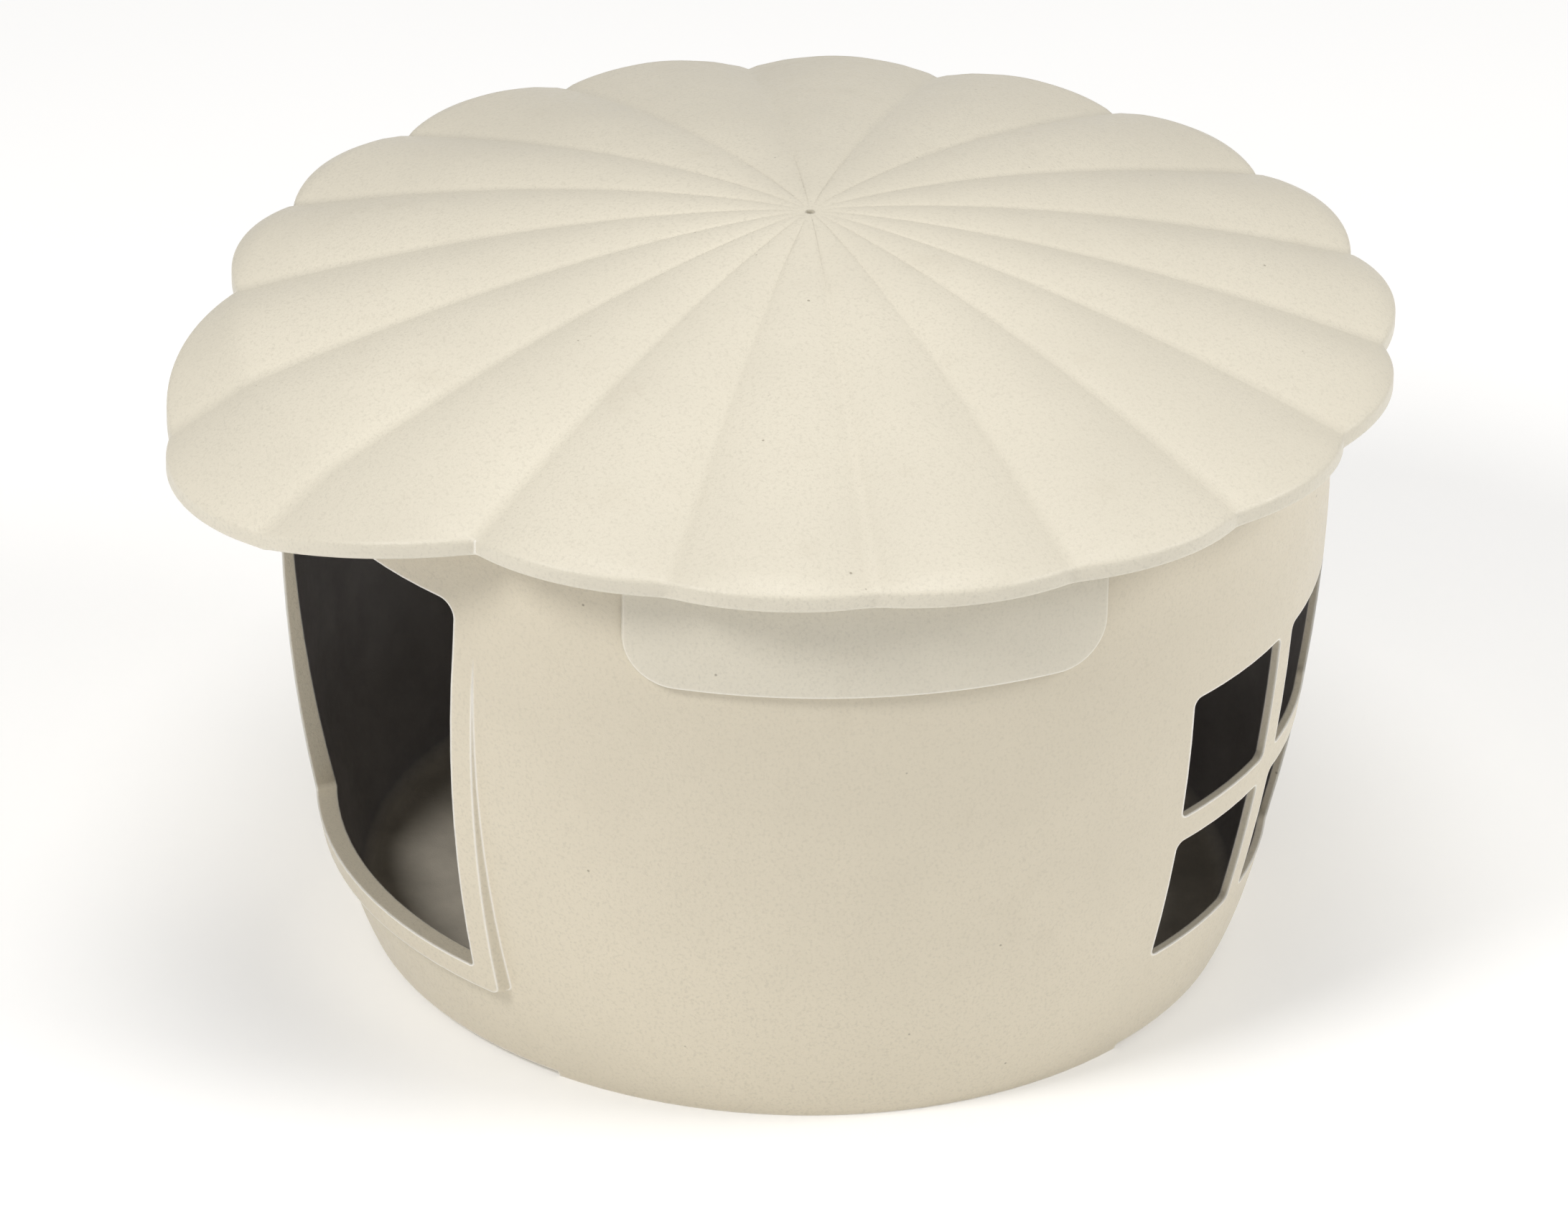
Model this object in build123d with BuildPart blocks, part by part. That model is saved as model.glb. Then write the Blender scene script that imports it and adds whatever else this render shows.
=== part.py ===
"""A small animal house: a round drafted tub with a doorway and two windows, and a lift-off petal roof.

Millimetres, +Z up. The doorway faces -Y. Everything is built round the tub's axis and then moved back
from the doorway, so that the origin is on the floor under the middle of the roof's outline.
"""
from build123d import *
from math import cos, radians, sin
import os

# ---- Tub: wall and floor -------------------------------------------------------------------------
rim_height = 220.0          # top of the wall, where the roof sits
tub_top_radius = 175.0      # outside of the wall where it stands upright
taper_height = 175.0        # the wall leans in below this height, along a parabola
taper_depth = 27.0          # how far the parabola would have come in at the floor
base_radius = 146.0         # outside of the wall on the floor, where its base is rounded in
base_round_height = 25.0    # height of that rounding
base_pull_height = 11.0     # height of its control point; lower is tighter
wall = 3.0
floor_thickness = 3.0
foot_height = 4.0           # clear height under the floor
foot_width = 7.0            # radial width of the ring that the tub stands on
foot_relief = 2.3           # height of the gaps in the foot ring
inner_base_fillet = 8.0

# ---- Doorway, with its raised surround ----------------------------------------------------------
door_azimuth = -90.0
door_sill = 42.0
door_top = 183.5
door_half_top = 70.0
door_half_sill = 64.0
door_top_corner = 6.0
door_sill_corner = 2.0
surround_band = 8.0         # width of the surround beside and below the doorway
surround_proud = 4.4        # how far it stands off the wall at its lower edge
surround_top = 185.0        # its upper end, sunk in the wall
surround_sink = 0.6         # how deep it is sunk there
surround_corner = 3.0
door_foot_half_angle = 31.4

# ---- Windows: four panes each -------------------------------------------------------------------
window_azimuths = (39.5, 140.5)
window_low = 40.5
window_high = 144.0
window_half_top = 56.5
window_half_low = 51.0
window_bar = 10.0
pane_corner = 3.0
window_foot_half_angle = 19.2

# ---- Roof ---------------------------------------------------------------------------------------
petal_count = 18
roof_rim_radius = 190.0     # at the cusps between petals
petal_bulge = 6.0           # how far a petal's tip reaches past the cusps
roof_rim_above_seat = 0.0   # height of the roof's rim cusps above the tub's rim
apex_rise = 39.5            # apex above the rim cusps
dome_power = 1.65           # 1 would be a cone, 2 a parabola
apex_flat_radius = 12.0
rim_crown = 5.0             # crown of a petal above its valleys at the rim; towards the apex it fades
roof_wall = 2.6
lip_height = 5.6            # turned-down edge
lip_thickness = 2.6
apex_hole_radius = 1.5

visor_slope = 0.59          # fall of the visor beyond the rim
visor_cusp_reach = 26.5     # the visor's two cusps, beyond the rim
visor_tip_reach = 35.0
visor_side_reach = 21.0     # the petals beside it, where their edge turns back
visor_side_angle = 18.2     # and how far round from the doorway that is
skirt_drop = 12.0           # height step of the sections below the rim
skirt_steps = 3

# ---- Seat, tongues and keys: how the roof sits on the tub ---------------------------------------
seat_overlap = 1.0          # seating ring reaches this far inside the wall
tongue_azimuths = (-19.5, 90.0, 199.5)
tongue_half_angle = 26.0
tongue_low = 175.0
tongue_corner = 16.0        # rounding of its two lower corners
tongue_thickness = 2.2
tongue_gap = 0.5            # clearance between tongue and wall
key_width = 6.0
key_depth = 14.0            # how far a key reaches below the tub's rim
key_gap = 0.5               # clearance round a key in its slot
bury = 1.0                  # how far a rib is carried into the shell that it grows from

FAR = 400.0                 # longer than anything in the object

roof_rim_height = rim_height + roof_rim_above_seat
tongue_inner_radius = tub_top_radius + tongue_gap
tongue_outer_radius = tongue_inner_radius + tongue_thickness
seat_inner_radius = tub_top_radius - wall - seat_overlap
floor_top = foot_height + floor_thickness
petal_angle = 360.0 / petal_count


def wall_radius(height):
    """Outside radius of the tub's wall at a height, without the rounding of its base."""
    return tub_top_radius - taper_depth * (1.0 - height / taper_height) ** 2


def wall_lean(height):
    """How fast that radius grows with the height."""
    return 2.0 * taper_depth / taper_height * (1.0 - height / taper_height)


def taper_curve(inset, low, high, proud=0.0):
    """Bezier points (radius, height) of the parabola between two heights; proud is added at the low end."""
    low_radius = wall_radius(low) - inset
    pull_radius = low_radius + wall_lean(low) * (high - low) / 2
    return [
        (low_radius + proud, low),
        (pull_radius + proud / 2, (low + high) / 2),
        (wall_radius(high) - inset, high),
    ]


def base_curve():
    """Bezier points of the rounding from the foot up to the parabola, which it meets without a kink."""
    pull_drop = base_round_height - base_pull_height
    pull_radius = wall_radius(base_round_height) - wall_lean(base_round_height) * pull_drop
    return [
        (base_radius, 0.0),
        (pull_radius, base_pull_height),
        (wall_radius(base_round_height), base_round_height),
    ]


def polar(radius, azimuth):
    return (radius * cos(radians(azimuth)), radius * sin(radians(azimuth)))


def facing(azimuth):
    """A vertical plane through the axis whose normal points out at an azimuth."""
    return Plane(
        origin=(0, 0, 0),
        x_dir=(-sin(radians(azimuth)), cos(radians(azimuth)), 0),
        z_dir=(cos(radians(azimuth)), sin(radians(azimuth)), 0),
    )


def profile_face(curves, top):
    """The half section between the axis and a chain of wall curves, closed at a top height."""
    start = curves[0][0]
    end = curves[-1][-1]
    with BuildSketch() as section:
        with BuildLine():
            for curve in curves:
                Bezier(*curve)
            if top > end[1]:
                Line(end, (end[0], top))
            Polyline((end[0], top), (0, top), (0, start[1]), start)
        make_face()
    return section.sketch


def rounded_quad(low, high, low_edges, high_edges, low_corner, high_corner):
    """A shape between two heights, with its two edges and the radius of its corners at each of them."""
    with BuildSketch() as shape:
        with BuildLine():
            FilletPolyline(
                (low_edges[0], low),
                (low_edges[1], low),
                (high_edges[1], high),
                (high_edges[0], high),
                radius=[low_corner, low_corner, high_corner, high_corner],
                close=True,
            )
        make_face()
    return shape.sketch


def window_panes():
    """Four panes between the window's leaning sides, with a bar each way between them."""
    middle = (window_low + window_high) / 2
    rows = ((window_low, middle - window_bar / 2), (middle + window_bar / 2, window_high))
    lean = (window_half_top - window_half_low) / (window_high - window_low)
    with BuildSketch() as panes:
        for low, high in rows:
            low_edge = window_half_low + lean * (low - window_low)
            high_edge = window_half_low + lean * (high - window_low)
            for side in (-1, 1):
                bar_edge = side * window_bar / 2
                low_edges = sorted((bar_edge, side * low_edge))
                high_edges = sorted((bar_edge, side * high_edge))
                add(rounded_quad(low, high, low_edges, high_edges, pane_corner, pane_corner))
    return panes.sketch


def sector(azimuth, half_angle, reach):
    """A wedge from the axis outwards, between two azimuths, closed by an arc."""
    start = polar(reach, azimuth - half_angle)
    middle = polar(reach, azimuth)
    end = polar(reach, azimuth + half_angle)
    with BuildSketch() as wedge:
        with BuildLine():
            Line((0, 0), start)
            ThreePointArc(start, middle, end)
            Line(end, (0, 0))
        make_face()
    return wedge.sketch


# ---- The tub ------------------------------------------------------------------------------------
with BuildPart() as cavity:
    with BuildSketch(Plane.XZ):
        add(profile_face([taper_curve(wall, floor_top, taper_height)], rim_height + wall))
    revolve(axis=Axis.Z)
    fillet(cavity.edges().group_by(Axis.Z)[0], inner_base_fillet)

# A block behind the doorway whose face is the wall's own, standing further off it towards the sill.
with BuildPart() as surround:
    surround_low = door_sill - surround_band
    with BuildSketch(Plane.XZ):
        lean_out = surround_proud + surround_sink
        add(profile_face([taper_curve(surround_sink, surround_low, surround_top, lean_out)], surround_top))
    revolve(axis=Axis.Z)
    with BuildSketch(facing(door_azimuth)):
        half_sill = door_half_sill + surround_band
        half_top = door_half_top + surround_band
        sill_edges = (-half_sill, half_sill)
        top_edges = (-half_top, half_top)
        corners = (surround_corner, surround_corner)
        add(rounded_quad(surround_low, surround_top, sill_edges, top_edges, *corners))
    extrude(amount=FAR, mode=Mode.INTERSECT)

with BuildPart() as tub:
    with BuildSketch(Plane.XZ):
        outer_curves = [base_curve(), taper_curve(0.0, base_round_height, taper_height)]
        add(profile_face(outer_curves, rim_height))
    revolve(axis=Axis.Z)
    add(surround.part)
    add(cavity.part, mode=Mode.SUBTRACT)
    with BuildSketch(Plane.XY):
        Circle(base_radius - foot_width)
    extrude(amount=foot_height, mode=Mode.SUBTRACT)

    # Gaps in the foot ring, below the doorway and the windows.
    with BuildSketch(Plane.XY):
        add(sector(door_azimuth, door_foot_half_angle, FAR))
        for azimuth in window_azimuths:
            add(sector(azimuth, window_foot_half_angle, FAR))
    extrude(amount=foot_relief, mode=Mode.SUBTRACT)

    # The doorway.
    with BuildSketch(facing(door_azimuth)):
        sill_edges = (-door_half_sill, door_half_sill)
        top_edges = (-door_half_top, door_half_top)
        add(rounded_quad(door_sill, door_top, sill_edges, top_edges, door_sill_corner, door_top_corner))
    extrude(amount=FAR, mode=Mode.SUBTRACT)

    # The windows: the bars are what is left between the panes.
    for azimuth in window_azimuths:
        with BuildSketch(facing(azimuth)):
            add(window_panes())
        extrude(amount=FAR, mode=Mode.SUBTRACT)

    # Slots in the rim for the roof's keys.
    for azimuth in tongue_azimuths:
        with BuildSketch(facing(azimuth)):
            with Locations((0, rim_height)):
                Rectangle(key_width + 2 * key_gap, 2 * (key_depth + key_gap))
        extrude(amount=FAR, mode=Mode.SUBTRACT)

tub.part.label = "tub"


# ---- The roof -----------------------------------------------------------------------------------
def valley_radius(rise):
    """Radius of the valleys at a height above the rim cusps; below them the visor's slope takes over."""
    if rise < 0:
        return roof_rim_radius - rise / visor_slope
    return roof_rim_radius * (1.0 - rise / apex_rise) ** (1.0 / dome_power)


def valley_rise(radius):
    return apex_rise * (1.0 - (radius / roof_rim_radius) ** dome_power)


def rosette(cusps, tips):
    """A ring of petal arcs, each from cusp to cusp through its tip; petal 0 is over the doorway."""
    with BuildSketch() as ring:
        with BuildLine():
            for petal in range(petal_count):
                start = door_azimuth + (petal - 0.5) * petal_angle
                ThreePointArc(
                    polar(cusps[petal], start),
                    polar(*tips[petal]),
                    polar(cusps[(petal + 1) % petal_count], start + petal_angle),
                )
        make_face()
    return ring.sketch


def level_ring(valley, crest):
    """A level section of the roof: the same arc in every petal."""
    tips = [(crest, door_azimuth + petal * petal_angle) for petal in range(petal_count)]
    return rosette([valley] * petal_count, tips)


def roof_outline():
    """The roof seen from above: petals all round, drawn out over the doorway as a visor."""
    cusps = [roof_rim_radius] * petal_count
    cusps[0] += visor_cusp_reach
    cusps[1] += visor_cusp_reach
    tip_radius = roof_rim_radius + petal_bulge
    tips = [(tip_radius, door_azimuth + petal * petal_angle) for petal in range(petal_count)]
    tips[0] = (roof_rim_radius + visor_tip_reach, door_azimuth)
    tips[1] = (roof_rim_radius + visor_side_reach, door_azimuth + visor_side_angle)
    tips[-1] = (roof_rim_radius + visor_side_reach, door_azimuth - visor_side_angle)
    return rosette(cusps, tips)


section_radii = [apex_flat_radius, 35.0, 70.0, 110.0, 150.0, roof_rim_radius]
section_rises = [valley_rise(radius) for radius in section_radii]
section_rises += [-skirt_drop * (step + 1) for step in range(skirt_steps)]

# Everything below the petals' upper surface, carried on past the rim.
with BuildPart() as dome:
    for rise in section_rises:
        valley = valley_radius(rise)
        crest = valley_radius(rise - rim_crown * (valley / roof_rim_radius) ** 2)
        with BuildSketch(Plane.XY.offset(roof_rim_height + rise)):
            add(level_ring(valley, crest))
    loft()

with BuildPart() as hollow:
    with BuildSketch(Plane.XY.offset(rim_height - FAR / 2)):
        add(roof_outline())
        offset(amount=-lip_thickness, mode=Mode.REPLACE)
    extrude(amount=FAR)
    add(dome.part, mode=Mode.INTERSECT)

# The ring that rests on the tub's rim, cut off just inside the shell.
with BuildPart() as seat:
    with BuildSketch(Plane.XY.offset(rim_height)):
        Circle(tongue_outer_radius)
        Circle(seat_inner_radius, mode=Mode.SUBTRACT)
    extrude(amount=apex_rise)
    with Locations((0, 0, -roof_wall + bury)):
        add(dome.part, mode=Mode.INTERSECT)

# The tongues hang from it outside the wall, with rounded lower corners.
with BuildPart() as tongues:
    half_width = tongue_outer_radius * sin(radians(tongue_half_angle))
    edges = (-half_width, half_width)
    for azimuth in tongue_azimuths:
        with BuildSketch(facing(azimuth)):
            top = rim_height + tongue_corner
            add(rounded_quad(tongue_low, top, edges, edges, tongue_corner, tongue_corner))
        extrude(amount=FAR)
    with BuildSketch(Plane.XY.offset(tongue_low)):
        Circle(tongue_outer_radius)
        Circle(tongue_inner_radius, mode=Mode.SUBTRACT)
    extrude(amount=rim_height - tongue_low, mode=Mode.INTERSECT)

# A key stands inwards from each tongue and sits in a slot of the tub's rim.
with BuildPart() as keys:
    key_length = tongue_inner_radius + bury - (tub_top_radius - wall)
    for azimuth in tongue_azimuths:
        with BuildSketch(facing(azimuth).offset(tub_top_radius - wall)):
            with Locations((0, rim_height - key_depth / 2)):
                Rectangle(key_width, key_depth)
        extrude(amount=key_length)

with BuildPart() as roof:
    with BuildSketch(Plane.XY.offset(rim_height - FAR / 2)):
        add(roof_outline())
    extrude(amount=FAR)
    add(dome.part, mode=Mode.INTERSECT)
    with Locations((0, 0, -lip_height)):
        add(dome.part, mode=Mode.SUBTRACT)
    with Locations((0, 0, -roof_wall)):
        add(hollow.part, mode=Mode.SUBTRACT)
    add(seat.part)
    add(tongues.part)
    add(keys.part)
    with Locations((0, 0, roof_rim_height + apex_rise)):
        Hole(radius=apex_hole_radius, depth=apex_rise)

roof.part.label = "roof"

# The visor reaches further out than the petal behind it; half of the difference centres the outline.
centring = Location((0, (visor_tip_reach - petal_bulge) / 2, 0))
tub.part.move(centring)
roof.part.move(centring)

os.makedirs("parts", exist_ok=True)
export_step(tub.part, "parts/tub.step")
export_step(roof.part, "parts/roof.step")
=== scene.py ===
"""The looks of a small animal house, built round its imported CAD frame. Metres, +Z up, doorway facing -Y."""

import math

import bmesh
import bpy
from mathutils import Matrix, Vector


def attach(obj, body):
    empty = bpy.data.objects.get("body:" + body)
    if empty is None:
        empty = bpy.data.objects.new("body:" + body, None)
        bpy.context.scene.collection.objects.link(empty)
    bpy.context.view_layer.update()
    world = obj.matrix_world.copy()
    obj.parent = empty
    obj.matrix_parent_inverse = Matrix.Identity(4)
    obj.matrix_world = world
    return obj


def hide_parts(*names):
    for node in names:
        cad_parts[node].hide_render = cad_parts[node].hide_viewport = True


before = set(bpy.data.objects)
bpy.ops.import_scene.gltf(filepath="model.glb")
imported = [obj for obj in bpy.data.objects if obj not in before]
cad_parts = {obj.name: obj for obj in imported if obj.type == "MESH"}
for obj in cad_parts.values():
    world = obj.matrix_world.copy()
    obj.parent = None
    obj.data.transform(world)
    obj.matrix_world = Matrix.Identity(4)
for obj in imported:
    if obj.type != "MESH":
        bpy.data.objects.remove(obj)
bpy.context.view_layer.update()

# ---- Sizes, in metres, as in the CAD ------------------------------------------------------------
AXIS_Y = 0.0145             # the tub's axis stands this far behind the origin
RIM_H = 0.220
TUB_R = 0.175
WALL = 0.003
TAPER_H = 0.175
TAPER_DEPTH = 0.027
ROOF_R = 0.190
PETAL_BULGE = 0.006
APEX_RISE = 0.0395
DOME_POWER = 1.65
PETALS = 18
PETAL_ANGLE = 2 * math.pi / PETALS
CROWN = 0.005
CROWN_POWER = 1.25
ROOF_WALL = 0.0026
LIP = 0.0056
HOLE_R = 0.0015
VISOR_SLOPE = 0.59
VISOR_CUSP = 0.0265
VISOR_TIP = 0.035
VISOR_SIDE = 0.021
VISOR_SIDE_ANGLE = math.radians(18.2)
DOOR = math.radians(-90.0)
TONGUES = (-19.5, 90.0, 199.5)
TONGUE_HALF = math.radians(26.0)
TONGUE_LOW = 0.175
TONGUE_CORNER = 0.016
TONGUE_IN = 0.1755
TONGUE_OUT = 0.1777
SEAT_IN = 0.171
KEY_W = 0.006
KEY_D = 0.014
BURIED = 0.0005             # how far a part that grows from the shell reaches up into it
PER_PETAL = 22              # mesh columns across one petal

IVORY_TUB = (0.70, 0.636, 0.508, 1.0)
IVORY_ROOF = (0.722, 0.675, 0.564, 1.0)
# Painted highlight: the near-white colour laid along every edge stands in for bright arrises catching the
# light.
EDGE_HIGHLIGHT = (1.0, 0.965, 0.89, 1.0)
DIRT = (0.42, 0.36, 0.26, 1.0)
SPECK = (0.14, 0.11, 0.075, 1.0)
# Painted shade: the dark colours below stand in for the shade inside the tub and under the roof, the inner
# floor painted a lighter shade than the inner walls; the blotch colour darkens that shade further in patches.
INNER_DARK_BLOTCH = (0.05, 0.045, 0.04, 1.0)
INNER_WALL_SHADE = (0.33, 0.31, 0.305, 1.0)
INNER_FLOOR_SHADE = (0.62, 0.57, 0.48, 1.0)
INNER_ROOF_SHADE = (0.315, 0.295, 0.28, 1.0)
EDGE_ROUND_AND_HIGHLIGHT_RADIUS = 0.0014        # how far from an edge the shading rounds and the painted highlight reaches
SHARP = math.radians(50.0)  # edges that turn more than this stay sharp


# ---- Node helpers -------------------------------------------------------------------------------
def new_material(name):
    mat = bpy.data.materials.new(name)
    mat.use_nodes = True
    tree = mat.node_tree
    tree.nodes.clear()
    return mat, tree


def add(tree, kind, inputs=None, **settings):
    node = tree.nodes.new(kind)
    for key, value in settings.items():
        setattr(node, key, value)
    for key, value in (inputs or {}).items():
        node.inputs[key].default_value = value
    return node


def noise(tree, coords, scale, detail=4.0, roughness=0.55):
    node = add(tree, "ShaderNodeTexNoise", {"Scale": scale, "Detail": detail, "Roughness": roughness})
    tree.links.new(coords, node.inputs["Vector"])
    return node.outputs["Fac"]


def ramp(tree, value, low, high, out_low=0.0, out_high=1.0):
    node = add(
        tree,
        "ShaderNodeMapRange",
        {"From Min": low, "From Max": high, "To Min": out_low, "To Max": out_high},
        clamp=True,
    )
    tree.links.new(value, node.inputs["Value"])
    return node.outputs["Result"]


def mix(tree, factor, first, second):
    node = add(tree, "ShaderNodeMix", data_type="RGBA")
    for socket, value in ((node.inputs["Factor"], factor), (node.inputs[6], first), (node.inputs[7], second)):
        if isinstance(value, (tuple, float)):
            socket.default_value = value
        else:
            tree.links.new(value, socket)
    return node.outputs[2]


def math_node(tree, operation, first, second):
    node = add(tree, "ShaderNodeMath", operation=operation)
    for socket, value in zip(node.inputs, (first, second)):
        if isinstance(value, float):
            socket.default_value = value
        else:
            tree.links.new(value, socket)
    return node.outputs[0]


def scaled(colour, factor):
    return tuple(min(1.0, factor * c) for c in colour[:3]) + (1.0,)


def moulded_plastic(name, colour, hidden):
    """Ivory moulding: cloudy tone, fine grain, a few dark specks and a painted highlight along the edges.

    hidden(tree, coords, normal) gives the mask of the inner faces, and their painted shade colour.
    """
    mat, tree = new_material(name)
    out = add(tree, "ShaderNodeOutputMaterial")
    shader = add(tree, "ShaderNodeBsdfPrincipled", {"IOR": 1.46, "Specular IOR Level": 0.40})
    tree.links.new(shader.outputs[0], out.inputs["Surface"])
    coords = add(tree, "ShaderNodeTexCoord").outputs["Object"]
    flat = add(tree, "ShaderNodeNewGeometry").outputs["Normal"]
    rounded = add(tree, "ShaderNodeBevel", {"Radius": EDGE_ROUND_AND_HIGHLIGHT_RADIUS}, samples=8).outputs["Normal"]

    clouds = noise(tree, coords, 9.0, 3.0)
    grain = noise(tree, coords, 900.0, 2.0, 0.6)
    dirt = noise(tree, coords, 40.0, 5.0, 0.6)
    tone = mix(tree, ramp(tree, clouds, 0.38, 0.62), scaled(colour, 0.965), scaled(colour, 1.02))
    tone = mix(tree, ramp(tree, grain, 0.50, 0.72, 0.0, 0.9), tone, scaled(colour, 0.89))
    tone = mix(tree, ramp(tree, dirt, 0.60, 0.78, 0.0, 0.10), tone, DIRT)

    # Specks: the cores of scattered cells, thinned out by a second noise.
    cells = add(tree, "ShaderNodeTexVoronoi", {"Scale": 95.0, "Randomness": 1.0})
    tree.links.new(coords, cells.inputs["Vector"])
    core = ramp(tree, cells.outputs["Distance"], 0.030, 0.055, 1.0, 0.0)
    thin = ramp(tree, noise(tree, coords, 60.0, 2.0), 0.55, 0.58)
    speck = math_node(tree, "MULTIPLY", math_node(tree, "MULTIPLY", core, thin), 0.55)
    tone = mix(tree, speck, tone, SPECK)

    # Painted highlight: edges are painted near-white, as bright arrises catching the light, though not the
    # grooves that meet at the roof's apex.
    aligned = add(tree, "ShaderNodeVectorMath", operation="DOT_PRODUCT")
    tree.links.new(flat, aligned.inputs[0])
    tree.links.new(rounded, aligned.inputs[1])
    off_highlight = ramp(tree, aligned.outputs["Value"], 0.93, 0.997)
    distance, _ = axis_distance(tree, coords)
    apex = ramp(tree, distance, 0.06, 0.10, 1.0, 0.0)
    tone = mix(tree, math_node(tree, "MAXIMUM", off_highlight, apex), EDGE_HIGHLIGHT, tone)

    # Painted shade: the inner faces are painted dark, in blotches darker still.
    mask, inner = hidden(tree, coords, flat)
    inner_darkening = mix(tree, ramp(tree, dirt, 0.35, 0.7, 0.0, 0.25), inner, INNER_DARK_BLOTCH)
    tone = mix(tree, mask, tone, inner_darkening)
    tree.links.new(tone, shader.inputs["Base Color"])

    rough = ramp(tree, noise(tree, coords, 260.0, 3.0), 0.3, 0.7, 0.34, 0.46)
    tree.links.new(rough, shader.inputs["Roughness"])

    bump = add(tree, "ShaderNodeBump", {"Strength": 0.45, "Distance": 0.0002})
    tree.links.new(math_node(tree, "ADD", grain, noise(tree, coords, 2200.0, 2.0)), bump.inputs["Height"])
    tree.links.new(rounded, bump.inputs["Normal"])
    wave = add(tree, "ShaderNodeBump", {"Strength": 0.22, "Distance": 0.0012})
    tree.links.new(noise(tree, coords, 14.0, 2.0, 0.4), wave.inputs["Height"])
    tree.links.new(bump.outputs[0], wave.inputs["Normal"])
    tree.links.new(wave.outputs[0], shader.inputs["Normal"])
    return mat


def axis_distance(tree, coords):
    """Distance from the tub's axis, and the height."""
    parts = add(tree, "ShaderNodeSeparateXYZ")
    tree.links.new(coords, parts.inputs[0])
    y = math_node(tree, "SUBTRACT", parts.outputs["Y"], AXIS_Y)
    squares = math_node(
        tree,
        "ADD",
        math_node(tree, "MULTIPLY", parts.outputs["X"], parts.outputs["X"]),
        math_node(tree, "MULTIPLY", y, y),
    )
    return math_node(tree, "SQRT", squares, 0.0), parts.outputs["Z"]


def inside_tub(tree, coords, normal):
    """Painted shade inside the tub: the wall's inner face dark grey-brown, and faces turned upwards, as the
    floor, in a tone between it and the ivory.
    """
    distance, height = axis_distance(tree, coords)
    run = ramp(tree, height, 0.0, TAPER_H, 1.0, 0.0)
    taper = math_node(tree, "MULTIPLY", math_node(tree, "MULTIPLY", run, run), TAPER_DEPTH)
    inner_radius = math_node(tree, "SUBTRACT", TUB_R - WALL, taper)
    depth = math_node(tree, "SUBTRACT", inner_radius, distance)
    above_floor = ramp(tree, height, 0.0055, 0.0065)
    mask = math_node(tree, "MULTIPLY", ramp(tree, depth, -0.0004, -0.0001), above_floor)
    parts = add(tree, "ShaderNodeSeparateXYZ")
    tree.links.new(normal, parts.inputs[0])
    level = ramp(tree, parts.outputs["Z"], 0.5, 0.95)
    return mask, mix(tree, level, INNER_WALL_SHADE, INNER_FLOOR_SHADE)


def under_roof(tree, coords, normal):
    """Painted shade on the roof's underside inside the tub's wall."""
    distance, _ = axis_distance(tree, coords)
    parts = add(tree, "ShaderNodeSeparateXYZ")
    tree.links.new(normal, parts.inputs[0])
    down = ramp(tree, parts.outputs["Z"], -0.4, -0.2, 1.0, 0.0)
    within = ramp(tree, distance, SEAT_IN - 0.001, SEAT_IN + 0.001, 1.0, 0.0)
    mask = math_node(tree, "MULTIPLY", down, within)
    return mask, INNER_ROOF_SHADE


tub_plastic = moulded_plastic("tub_ivory_plastic", IVORY_TUB, inside_tub)
roof_plastic = moulded_plastic("roof_ivory_plastic", IVORY_ROOF, under_roof)

for node, material in (("tub", tub_plastic), ("roof", roof_plastic)):
    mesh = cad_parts[node].data
    mesh.materials.clear()
    mesh.materials.append(material)


# ---- Roof: petals, rolled lip, visor, seating ring, tongues and keys ----------------------------
def polar(radius, angle, height):
    return Vector((radius * math.cos(angle), AXIS_Y + radius * math.sin(angle), height))


def petal_arcs():
    """Centre and radius of each petal's outline arc, seen from above, round the tub's axis."""
    cusps = [ROOF_R] * PETALS
    cusps[0] += VISOR_CUSP
    cusps[1] += VISOR_CUSP
    tips = [(ROOF_R + PETAL_BULGE, petal * PETAL_ANGLE) for petal in range(PETALS)]
    tips[0] = (ROOF_R + VISOR_TIP, 0.0)
    tips[1] = (ROOF_R + VISOR_SIDE, VISOR_SIDE_ANGLE)
    tips[-1] = (ROOF_R + VISOR_SIDE, -VISOR_SIDE_ANGLE)
    arcs = []
    for petal in range(PETALS):
        first = (petal - 0.5) * PETAL_ANGLE
        ends = [
            (cusps[petal], first),
            tips[petal],
            (cusps[(petal + 1) % PETALS], first + PETAL_ANGLE),
        ]
        (ax, ay), (bx, by), (cx, cy) = [
            (radius * math.cos(DOOR + turn), radius * math.sin(DOOR + turn)) for radius, turn in ends
        ]
        twice = 2 * ((bx - ax) * (cy - ay) - (cx - ax) * (by - ay))
        b2 = bx * bx + by * by - ax * ax - ay * ay
        c2 = cx * cx + cy * cy - ax * ax - ay * ay
        x = (b2 * (cy - ay) - c2 * (by - ay)) / twice
        y = (c2 * (bx - ax) - b2 * (cx - ax)) / twice
        arcs.append((x, y, math.hypot(ax - x, ay - y)))
    return arcs


def roof_rise(radius, share):
    """Height of the upper surface above the rim; share runs from -1 to 1 across a petal."""
    if radius < ROOF_R:
        valley = APEX_RISE * (1.0 - (radius / ROOF_R) ** DOME_POWER)
    else:
        valley = -VISOR_SLOPE * (radius - ROOF_R)
    lobe = 1.0 - share * share
    crown = CROWN * (radius / ROOF_R) ** CROWN_POWER
    if radius > ROOF_R:
        crown = CROWN
    dimple = 0.0006 * max(0.0, 1.0 - radius / 0.006)
    groove = 0.00025 * max(0.0, (abs(share) - 0.9) / 0.1) * min(1.0, radius / 0.02)
    return valley + crown * lobe - dimple - groove


def close_ring(bm, low, high):
    for step in range(len(low)):
        following = (step + 1) % len(low)
        bm.faces.new((low[step], low[following], high[following], high[step]))


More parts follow.
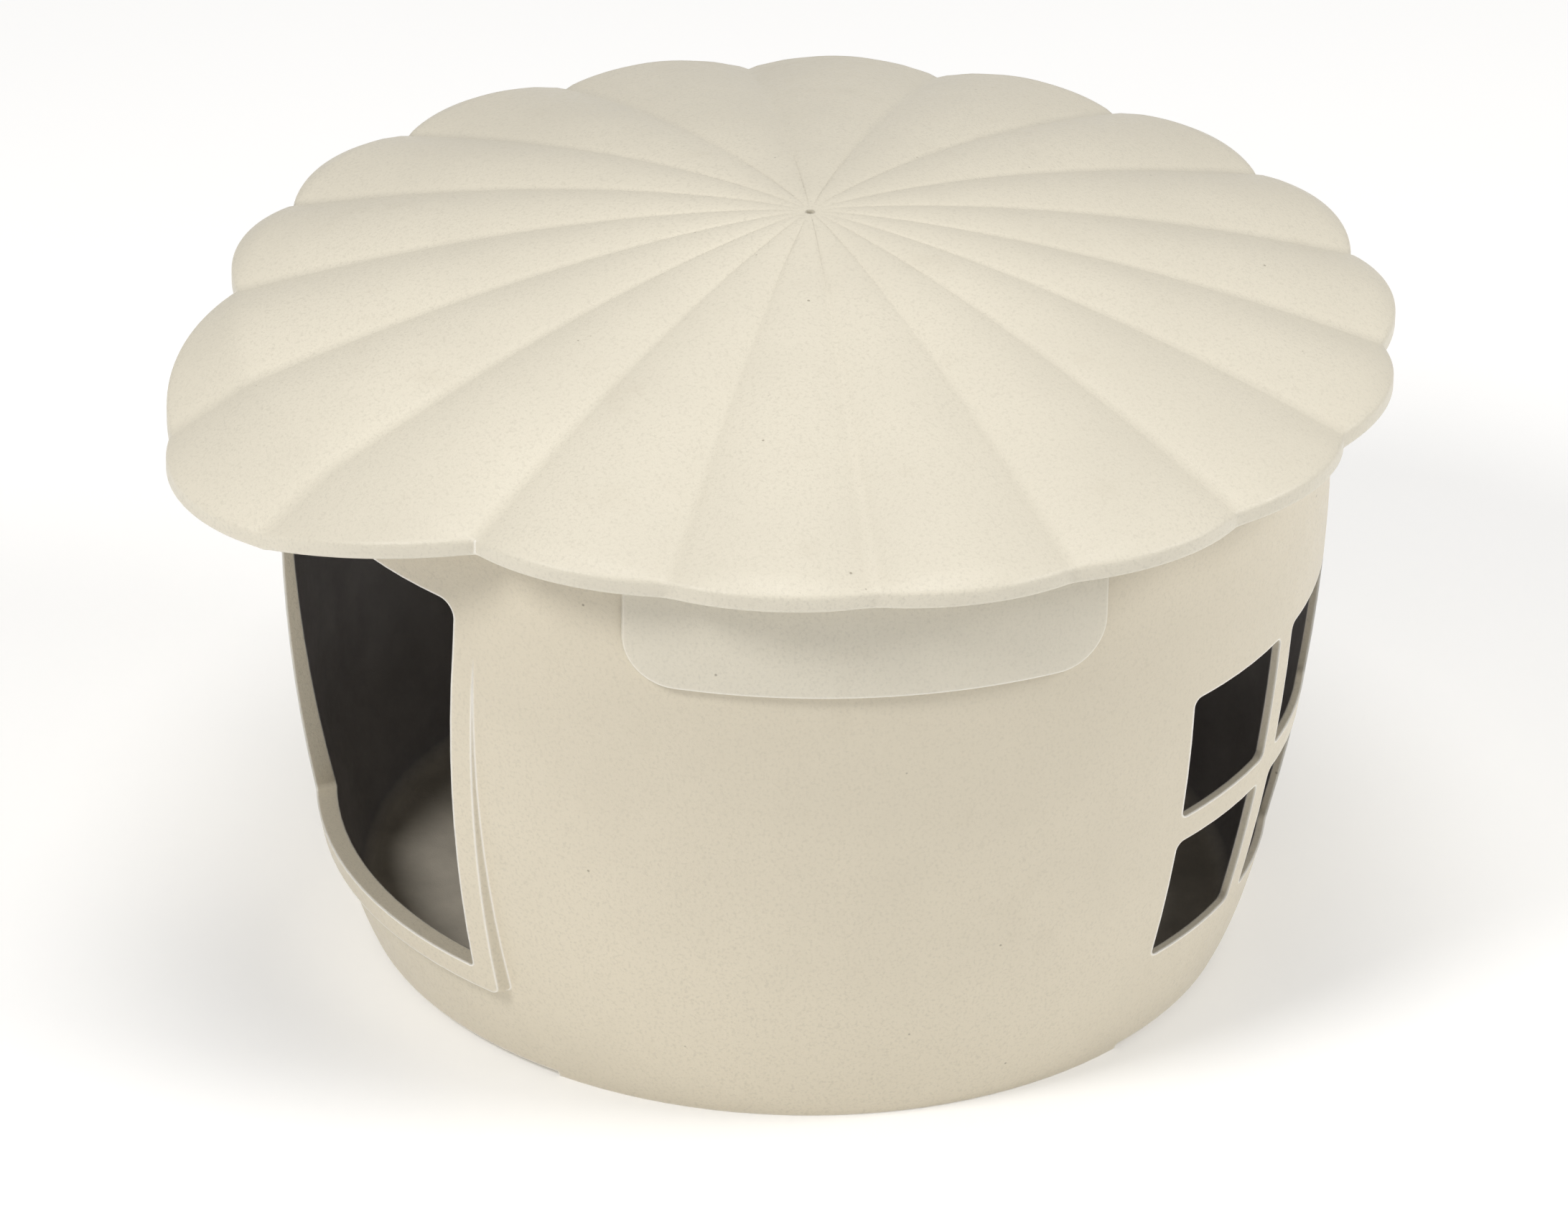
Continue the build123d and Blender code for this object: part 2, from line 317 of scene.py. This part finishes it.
def add_shell(bm):
    """The petal shell as one closed surface, from the vent hole out over the lip and back underneath."""
    arcs = petal_arcs()
    columns = []
    for petal in range(PETALS):
        for step in range(PER_PETAL):
            turn = (petal - 0.5 + step / PER_PETAL) * PETAL_ANGLE
            angle = DOOR + turn
            share = 2.0 * step / PER_PETAL - 1.0
            x, y, radius = arcs[petal]
            along = x * math.cos(angle) + y * math.sin(angle)
            reach = along + math.sqrt(along * along - x * x - y * y + radius * radius)
            columns.append((angle, share, reach))

    soft = 0.0010           # rounding of the lip's upper edge
    fine = 0.0009           # rounding of its two lower edges
    top_rows = 60
    under_rows = 30
    crowding = 0.8          # below 1 crowds the top's rows towards the lip
    rings = []

    def ring(place):
        verts = []
        for angle, share, reach in columns:
            radius, height = place(share, reach)
            verts.append(bm.verts.new(polar(radius, angle, RIM_H + height)))
        rings.append(verts)

    for row in range(top_rows + 1):
        part = (row / top_rows) ** crowding
        ring(lambda share, reach: (
            HOLE_R + (reach - soft - HOLE_R) * part,
            roof_rise(HOLE_R + (reach - soft - HOLE_R) * part, share),
        ))
    for row in range(1, 6):
        bend = math.radians(18 * row)
        ring(lambda share, reach: (
            reach - soft + soft * math.sin(bend),
            roof_rise(reach - soft + soft * math.sin(bend), share) - soft + soft * math.cos(bend),
        ))
    for row in range(5):
        bend = math.radians(22.5 * row)
        ring(lambda share, reach: (
            reach - fine + fine * math.cos(bend),
            roof_rise(reach, share) - LIP + fine - fine * math.sin(bend),
        ))
    for row in range(5):
        bend = math.radians(22.5 * row)
        ring(lambda share, reach: (
            reach - ROOF_WALL + fine - fine * math.sin(bend),
            roof_rise(reach, share) - LIP + fine - fine * math.cos(bend),
        ))
    for row in range(under_rows + 1):
        part = 1.0 - row / under_rows
        ring(lambda share, reach: (
            HOLE_R + (reach - ROOF_WALL - HOLE_R) * part,
            roof_rise(HOLE_R + (reach - ROOF_WALL - HOLE_R) * part, share) - ROOF_WALL,
        ))
    for low, high in zip(rings, rings[1:]):
        close_ring(bm, low, high)
    close_ring(bm, rings[-1], rings[0])


def add_seat_ring(bm):
    """The ring that rests on the tub's rim. Its top is buried in the shell."""
    rings = []
    for radius, buried in ((SEAT_IN, False), (TONGUE_OUT, False), (TONGUE_OUT, True), (SEAT_IN, True)):
        ring = []
        for step in range(PETALS * PER_PETAL):
            share = 2.0 * (step % PER_PETAL) / PER_PETAL - 1.0
            angle = DOOR + (step / PER_PETAL - 0.5) * PETAL_ANGLE
            height = roof_rise(radius, share) - ROOF_WALL + BURIED if buried else 0.0
            ring.append(bm.verts.new(polar(radius, angle, RIM_H + height)))
        rings.append(ring)
    for index in range(4):
        close_ring(bm, rings[index], rings[(index + 1) % 4])


def add_tongue(bm, azimuth):
    """A curved plate outside the wall, with a rolled edge and round lower corners, and its key behind."""
    edge = 0.0003           # rounding of the plate's outer edge
    sheet_rows = 8
    flat_steps = 40
    facing = math.radians(azimuth)
    top = RIM_H + 0.0010    # inside the seating ring
    key_bury = 0.0004       # how far the key reaches into the plate

    def place(across, height, radius):
        ahead = math.sqrt(radius * radius - across * across)
        x = ahead * math.cos(facing) - across * math.sin(facing)
        y = ahead * math.sin(facing) + across * math.cos(facing)
        return bm.verts.new((x, AXIS_Y + y, height))

    # The lower outline from side to side, each point with its outward direction.
    corner = TONGUE_CORNER - edge
    span = TONGUE_OUT * math.sin(TONGUE_HALF) - edge - corner
    low = TONGUE_LOW + edge
    outline = []
    for step in range(13):
        bend = math.radians(7.5 * step)
        outline.append((
            -span - corner * math.cos(bend),
            low + corner - corner * math.sin(bend),
            -math.cos(bend),
            -math.sin(bend),
        ))
    for step in range(1, flat_steps):
        outline.append((-span + 2 * span * step / flat_steps, low, 0.0, -1.0))
    outline += [(-x, z, -nx, nz) for x, z, nx, nz in reversed(outline[:13])]

    def sheet(swell, radius):
        """Rows of vertices from the top edge down to the outline."""
        return [
            [
                place(x + nx * swell, top + (z + nz * swell - top) * row / sheet_rows, radius)
                for x, z, nx, nz in outline
            ]
            for row in range(sheet_rows + 1)
        ]

    def border(rows):
        return [row[0] for row in rows[:-1]] + rows[-1] + [row[-1] for row in reversed(rows[:-1])]

    front = sheet(0.0, TONGUE_OUT)
    rear = sheet(edge, TONGUE_IN)
    for rows in (front, rear):
        for high, under in zip(rows, rows[1:]):
            for step in range(len(outline) - 1):
                bm.faces.new((high[step], under[step], under[step + 1], high[step + 1]))

    # Roll the edge over, from the front sheet's border to the rear sheet's.
    end_x, end_z = outline[0][:2]
    side = [(end_x, top + (end_z - top) * row / sheet_rows, -1.0, 0.0) for row in range(sheet_rows)]
    rim = side + outline + [(-x, z, 1.0, 0.0) for x, z, nx, nz in reversed(side)]
    loops = [border(front)]
    for row in range(1, 5):
        bend = math.radians(22.5 * row)
        swell = edge * math.sin(bend)
        radius = TONGUE_OUT - edge + edge * math.cos(bend)
        loops.append([place(x + nx * swell, z + nz * swell, radius) for x, z, nx, nz in rim])
    loops.append(border(rear))
    for outer, inner in zip(loops, loops[1:]):
        for step in range(len(rim) - 1):
            bm.faces.new((outer[step], inner[step], inner[step + 1], outer[step + 1]))
    # The top.
    for step in range(len(outline) - 1):
        bm.faces.new((front[0][step], front[0][step + 1], rear[0][step + 1], rear[0][step]))
    for end in (0, -1):
        bm.faces.new([loop[end] for loop in loops])

    # The key behind it.
    corners = []
    for across in (-KEY_W / 2, KEY_W / 2):
        for radius in (TUB_R - WALL, TONGUE_IN + key_bury):
            for height in (RIM_H - KEY_D, top):
                corners.append(place(across, height, radius))
    for face in ((0, 1, 3, 2), (4, 6, 7, 5), (0, 2, 6, 4), (1, 5, 7, 3), (0, 4, 5, 1), (2, 3, 7, 6)):
        bm.faces.new([corners[index] for index in face])


def build_roof():
    """The whole roof in one mesh, smooth but for its sharp edges."""
    bm = bmesh.new()
    add_shell(bm)
    add_seat_ring(bm)
    for azimuth in TONGUES:
        add_tongue(bm, azimuth)
    bmesh.ops.recalc_face_normals(bm, faces=bm.faces)
    for face in bm.faces:
        face.smooth = True
    for edge in bm.edges:
        if len(edge.link_faces) == 2 and edge.calc_face_angle(0.0) > SHARP:
            edge.smooth = False
    mesh = bpy.data.meshes.new("petal_roof")
    bm.to_mesh(mesh)
    bm.free()
    mesh.materials.append(roof_plastic)
    roof = bpy.data.objects.new("petal_roof", mesh)
    bpy.context.scene.collection.objects.link(roof)
    return roof


petal_roof = build_roof()
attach(petal_roof, "roof")
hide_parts("roof")


# ---- Floor --------------------------------------------------------------------------------------
def floor_material():
    mat, tree = new_material("studio_floor")
    out = add(tree, "ShaderNodeOutputMaterial")
    shader = add(
        tree,
        "ShaderNodeBsdfPrincipled",
        {"Roughness": 0.9, "Specular IOR Level": 0.1, "Emission Strength": 0.16},
    )
    coords = add(tree, "ShaderNodeTexCoord").outputs["Object"]
    tone = mix(tree, noise(tree, coords, 3.0), (0.93, 0.93, 0.93, 1.0), (0.96, 0.96, 0.96, 1.0))
    tree.links.new(tone, shader.inputs["Base Color"])
    shader.inputs["Emission Color"].default_value = (1.0, 1.0, 1.0, 1.0)
    tree.links.new(shader.outputs[0], out.inputs["Surface"])
    return mat


def build_floor():
    """A large flat disc."""
    steps = 96
    bm = bmesh.new()
    rings = []
    for radius in (1.0, 3.0, 6.0):
        angles = [2 * math.pi * step / steps for step in range(steps)]
        rings.append([bm.verts.new((radius * math.cos(a), radius * math.sin(a), 0.0)) for a in angles])
    centre = bm.verts.new((0, 0, 0))
    for step in range(steps):
        following = (step + 1) % steps
        bm.faces.new((centre, rings[0][step], rings[0][following]))
        for low, high in zip(rings, rings[1:]):
            bm.faces.new((low[step], high[step], high[following], low[following]))
    mesh = bpy.data.meshes.new("studio_floor")
    bm.to_mesh(mesh)
    bm.free()
    mesh.materials.append(floor_material())
    disc = bpy.data.objects.new("studio_floor", mesh)
    bpy.context.scene.collection.objects.link(disc)
    return disc


floor = build_floor()


# ---- Camera -------------------------------------------------------------------------------------
CAMERA_AZIMUTH = math.radians(-26.7)
CAMERA_ELEVATION = 0.50344
CAMERA_ROLL = 0.019883
CAMERA_DISTANCE = 16.1908 * ROOF_R
AIM_RIGHT = -0.03178 * ROOF_R       # from the middle of the tub's rim
AIM_NEARER = 1.04448 * ROOF_R       # towards the camera
LENS = 225.47

away = Vector((math.cos(CAMERA_AZIMUTH), math.sin(CAMERA_AZIMUTH), 0.0))
right = Vector((-away.y, away.x, 0.0))
back = away * math.cos(CAMERA_ELEVATION) + Vector((0, 0, math.sin(CAMERA_ELEVATION)))
up = back.cross(right)
aim = Vector((0.0, AXIS_Y, RIM_H)) + right * AIM_RIGHT + away * AIM_NEARER
turned_right = right * math.cos(CAMERA_ROLL) + up * math.sin(CAMERA_ROLL)
turned_up = up * math.cos(CAMERA_ROLL) - right * math.sin(CAMERA_ROLL)

camera_data = bpy.data.cameras.new("camera")
camera_data.lens = LENS
camera_data.sensor_width = 36.0
camera_data.clip_end = 50.0
camera = bpy.data.objects.new("camera", camera_data)
bpy.context.scene.collection.objects.link(camera)
stand = Matrix((turned_right, turned_up, back)).transposed().to_4x4()
stand.translation = aim + back * CAMERA_DISTANCE
camera.matrix_world = stand
bpy.context.scene.camera = camera


# ---- Light --------------------------------------------------------------------------------------
LIGHT_DISTANCE = 2.6
LIT_HEIGHT = 0.12
WORLD_STRENGTH = 0.27


def area_light(name, azimuth, elevation, size, power, tint):
    """A round soft light, aimed at the middle of the house."""
    data = bpy.data.lights.new(name, "AREA")
    data.shape = "DISK"
    data.size = size
    data.energy = power
    data.color = tint
    lamp = bpy.data.objects.new(name, data)
    bpy.context.scene.collection.objects.link(lamp)
    a = math.radians(azimuth)
    e = math.radians(elevation)
    direction = Vector((math.cos(a) * math.cos(e), math.sin(a) * math.cos(e), math.sin(e)))
    lamp.location = Vector((0.0, AXIS_Y, LIT_HEIGHT)) + direction * LIGHT_DISTANCE
    lamp.rotation_euler = direction.to_track_quat("Z", "Y").to_euler()


area_light("key", -75.0, 44.0, 0.8, 30.0, (1.0, 0.985, 0.96))
area_light("top", -30.0, 86.0, 1.2, 21.0, (1.0, 0.985, 0.965))
area_light("window_side", 52.0, 36.0, 1.2, 25.0, (1.0, 0.99, 0.97))

world = bpy.data.worlds.new("studio")
world.use_nodes = True
background = world.node_tree.nodes["Background"]
background.inputs["Color"].default_value = (1.0, 1.0, 1.0, 1.0)
background.inputs["Strength"].default_value = WORLD_STRENGTH
bpy.context.scene.world = world
bpy.context.scene.view_settings.view_transform = "Standard"
